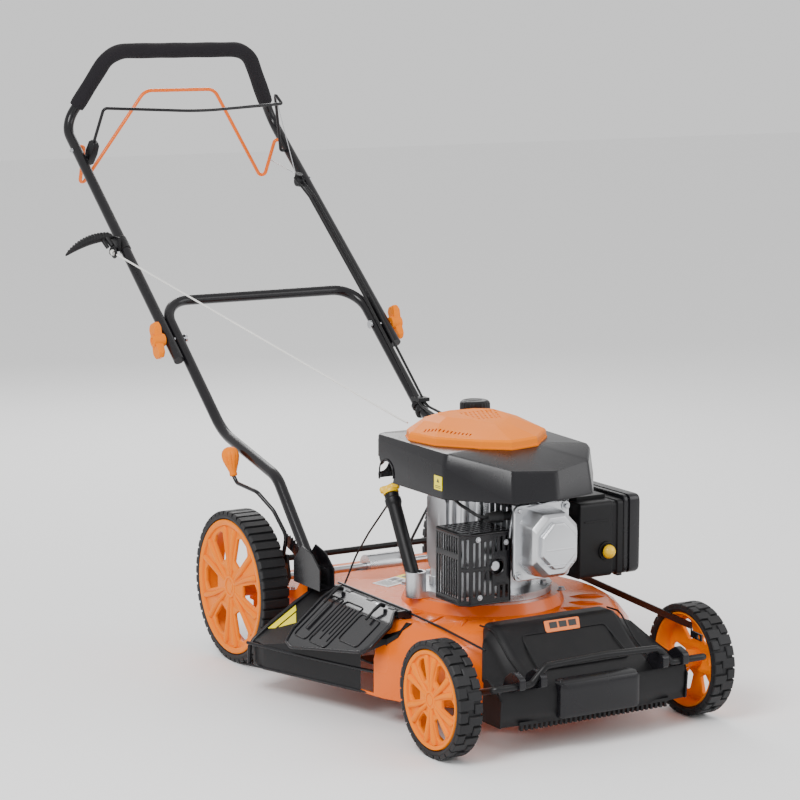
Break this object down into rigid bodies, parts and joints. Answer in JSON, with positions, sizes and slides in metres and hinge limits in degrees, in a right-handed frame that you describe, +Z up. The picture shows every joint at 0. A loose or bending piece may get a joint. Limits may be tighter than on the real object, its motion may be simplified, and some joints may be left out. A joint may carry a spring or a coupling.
{
  "type": "walk-behind rotary lawn mower",
  "caption": "Petrol rotary lawn mower with a steel side-discharge deck, large rear wheels, lever height setting, folding handle and two control bails.",
  "frame": {"origin": "on the ground, at the centre of the whole machine's box seen from above", "axes": "+Z up; the mower faces -Y and its handle rises toward +Y; +X is its left side and -X its discharge side"},
  "size_m": [0.6658, 1.7004, 1.1729],
  "materials": {
    "orange_steel": "glossy powder coat",
    "orange_plastic": "moulded, satin",
    "black_plastic": "moulded, fine grain",
    "black_paint": "glossy black paint",
    "smoky_plastic": "smoky translucent moulding",
    "rubber": "dull",
    "tyre_rubber": "moulded tread",
    "foam": "closed-cell foam",
    "cast_aluminium": "die cast",
    "steel": "machined",
    "black_steel": "blackened steel",
    "yellow_plastic": "moulded",
    "rope": "braided cord"
  },
  "bodies": {
    "chassis": {"deck": "orange_steel", "front_fascia": "black_plastic", "discharge_chute": "black_plastic", "flap_hinge": "black_paint", "handle_bracket_right": "black_paint", "handle_bracket_left": "black_paint", "crankcase": "cast_aluminium", "cylinder": "cast_aluminium", "rocker_cover": "cast_aluminium", "spark_plug": "rubber", "muffler": "steel", "muffler_guard": "black_paint", "carburettor": "cast_aluminium", "air_filter_case": "black_plastic", "air_filter_cover": "black_plastic", "blower_housing": "black_plastic", "fuel_tank": "black_plastic", "recoil_cover": "orange_plastic", "oil_filler_tube": "black_plastic", "drive_belt": "rubber", "gearbox": "cast_aluminium", "lower_handle": "black_paint", "fold_bolt_right": "steel", "fold_bolt_left": "steel", "starter_rope": "rope", "brake_cable": "rubber", "drive_cable": "rubber"},
    "handle": {"upper_handle": "black_paint", "foam_grip": "foam", "rope_guide": "black_plastic"},
    "drive_bail": {"drive_bail": "orange_steel"},
    "brake_bail": {"brake_bail": "black_paint"},
    "starter_grip": {"starter_grip": "rubber"},
    "knob_right": {"wing_knob_right": "orange_plastic"},
    "knob_left": {"wing_knob_left": "orange_plastic"},
    "rear_suspension": {"rear_axle": "black_steel", "height_lever": "black_paint", "lever_knob": "orange_plastic"},
    "front_suspension": {"front_axle": "black_steel"},
    "link": {"height_link": "black_paint"},
    "front_right_wheel": {"front_right_tyre": "tyre_rubber", "front_right_rim": "orange_plastic"},
    "front_left_wheel": {"front_left_tyre": "tyre_rubber", "front_left_rim": "orange_plastic"},
    "rear_right_wheel": {"rear_right_tyre": "tyre_rubber", "rear_right_rim": "orange_plastic"},
    "rear_left_wheel": {"rear_left_tyre": "tyre_rubber", "rear_left_rim": "orange_plastic"},
    "flap": {"discharge_flap": "smoky_plastic"},
    "shield": {"trailing_shield": "rubber"},
    "crank": {"crankshaft": "steel", "flywheel": "cast_aluminium", "blade_adapter": "steel", "blade": "black_steel", "blade_bolt": "steel"},
    "gear_pulley": {"gearbox_pulley": "steel"},
    "shaft": {"drive_shaft": "steel"},
    "primer": {"primer_bulb": "yellow_plastic"},
    "dipstick": {"oil_dipstick": "yellow_plastic"},
    "fuel_cap": {"fuel_cap": "black_plastic"}
  },
  "joints": [
    {"name": "height_adjust", "type": "hinge", "parent": "chassis", "child": "rear_suspension", "pos_m": [0.0429, -0.09323, 0.179], "axis": [1, 0, 0], "range_deg": [-10, 18]},
    {"name": "front_axle_swing", "type": "hinge", "parent": "chassis", "child": "front_suspension", "pos_m": [0.0429, -0.83823, 0.133], "axis": [1, 0, 0], "range_deg": [-10, 18]},
    {"name": "height_link_swing", "type": "hinge", "parent": "rear_suspension", "child": "link", "pos_m": [0.0429, -0.08823, 0.214], "axis": [1, 0, 0], "range_deg": [-18, 10]},
    {"name": "front_right_wheel_spin", "type": "hinge", "parent": "front_suspension", "child": "front_right_wheel", "pos_m": [0.0429, -0.73873, 0.1015], "axis": [1, 0, 0], "continuous": true},
    {"name": "front_left_wheel_spin", "type": "hinge", "parent": "front_suspension", "child": "front_left_wheel", "pos_m": [0.0429, -0.73873, 0.1015], "axis": [1, 0, 0], "continuous": true},
    {"name": "rear_right_wheel_spin", "type": "hinge", "parent": "rear_suspension", "child": "rear_right_wheel", "pos_m": [0.0429, 0.00627, 0.1475], "axis": [1, 0, 0], "continuous": true},
    {"name": "rear_left_wheel_spin", "type": "hinge", "parent": "rear_suspension", "child": "rear_left_wheel", "pos_m": [0.0429, 0.00627, 0.1475], "axis": [1, 0, 0], "continuous": true},
    {"name": "crank_spin", "type": "hinge", "parent": "chassis", "child": "crank", "pos_m": [0.0429, -0.45123, 0.2], "axis": [0, 0, 1], "continuous": true},
    {"name": "gearbox_pulley_spin", "type": "hinge", "parent": "chassis", "child": "gear_pulley", "pos_m": [0.0429, -0.09323, 0.145], "axis": [0, 0, 1], "continuous": true},
    {"name": "drive_shaft_spin", "type": "hinge", "parent": "chassis", "child": "shaft", "pos_m": [0.0429, -0.09323, 0.179], "axis": [1, 0, 0], "continuous": true},
    {"name": "handle_fold", "type": "hinge", "parent": "chassis", "child": "handle", "pos_m": [0.0429, 0.33677, 0.588], "axis": [1, 0, 0], "range_deg": [0, 125], "deforming": ["starter_rope", "brake_cable", "drive_cable"]},
    {"name": "drive_bail_press", "type": "hinge", "parent": "handle", "child": "drive_bail", "pos_m": [0.0429, 0.79377, 0.9536], "axis": [1, 0, 0], "range_deg": [0, 18], "stiffness_Nm_per_rad": 1.5, "springref_deg": -20.05},
    {"name": "brake_bail_pull", "type": "hinge", "parent": "handle", "child": "brake_bail", "pos_m": [0.0429, 0.76577, 0.9312], "axis": [1, 0, 0], "range_deg": [-30, 0], "stiffness_Nm_per_rad": 2, "springref_deg": 20.05},
    {"name": "starter_pull", "type": "slide", "parent": "handle", "child": "starter_grip", "axis": [-0.1001, 0.8008, 0.5906], "range_m": [0, 0.45], "stiffness_N_per_m": 15, "springref_m": -0.3},
    {"name": "wing_knob_right_turn", "type": "hinge", "parent": "chassis", "child": "knob_right", "pos_m": [-0.2341, 0.33677, 0.588], "axis": [1, 0, 0], "continuous": true},
    {"name": "wing_knob_left_turn", "type": "hinge", "parent": "chassis", "child": "knob_left", "pos_m": [0.3199, 0.33677, 0.588], "axis": [1, 0, 0], "continuous": true},
    {"name": "flap_lift", "type": "hinge", "parent": "chassis", "child": "flap", "pos_m": [-0.1731, -0.40623, 0.196], "axis": [0, 1, 0], "range_deg": [0, 80], "stiffness_Nm_per_rad": 0.5, "springref_deg": -34.38},
    {"name": "shield_swing", "type": "hinge", "parent": "chassis", "child": "shield", "pos_m": [0.0429, 0.06177, 0.115], "axis": [1, 0, 0], "range_deg": [0, 60]},
    {"name": "primer_press", "type": "slide", "parent": "chassis", "child": "primer", "axis": [0, 1, 0], "range_m": [0, 0.006], "stiffness_N_per_m": 600, "springref_m": -0.001},
    {"name": "dipstick_pull", "type": "slide", "parent": "chassis", "child": "dipstick", "axis": [0.0582, 0.5764, 0.8151], "range_m": [0, 0.12]},
    {"name": "fuel_cap_lift", "type": "slide", "parent": "chassis", "child": "fuel_cap", "axis": [0, 0, 1], "range_m": [0, 0.03]}
  ],
  "couplings": [
    {"joint": "front_axle_swing", "follows": "height_adjust", "ratio": 1},
    {"joint": "height_link_swing", "follows": "height_adjust", "ratio": -1},
    {"joint": "gearbox_pulley_spin", "follows": "crank_spin", "ratio": 0.65},
    {"joint": "drive_shaft_spin", "follows": "crank_spin", "ratio": 0.0361}
  ]
}
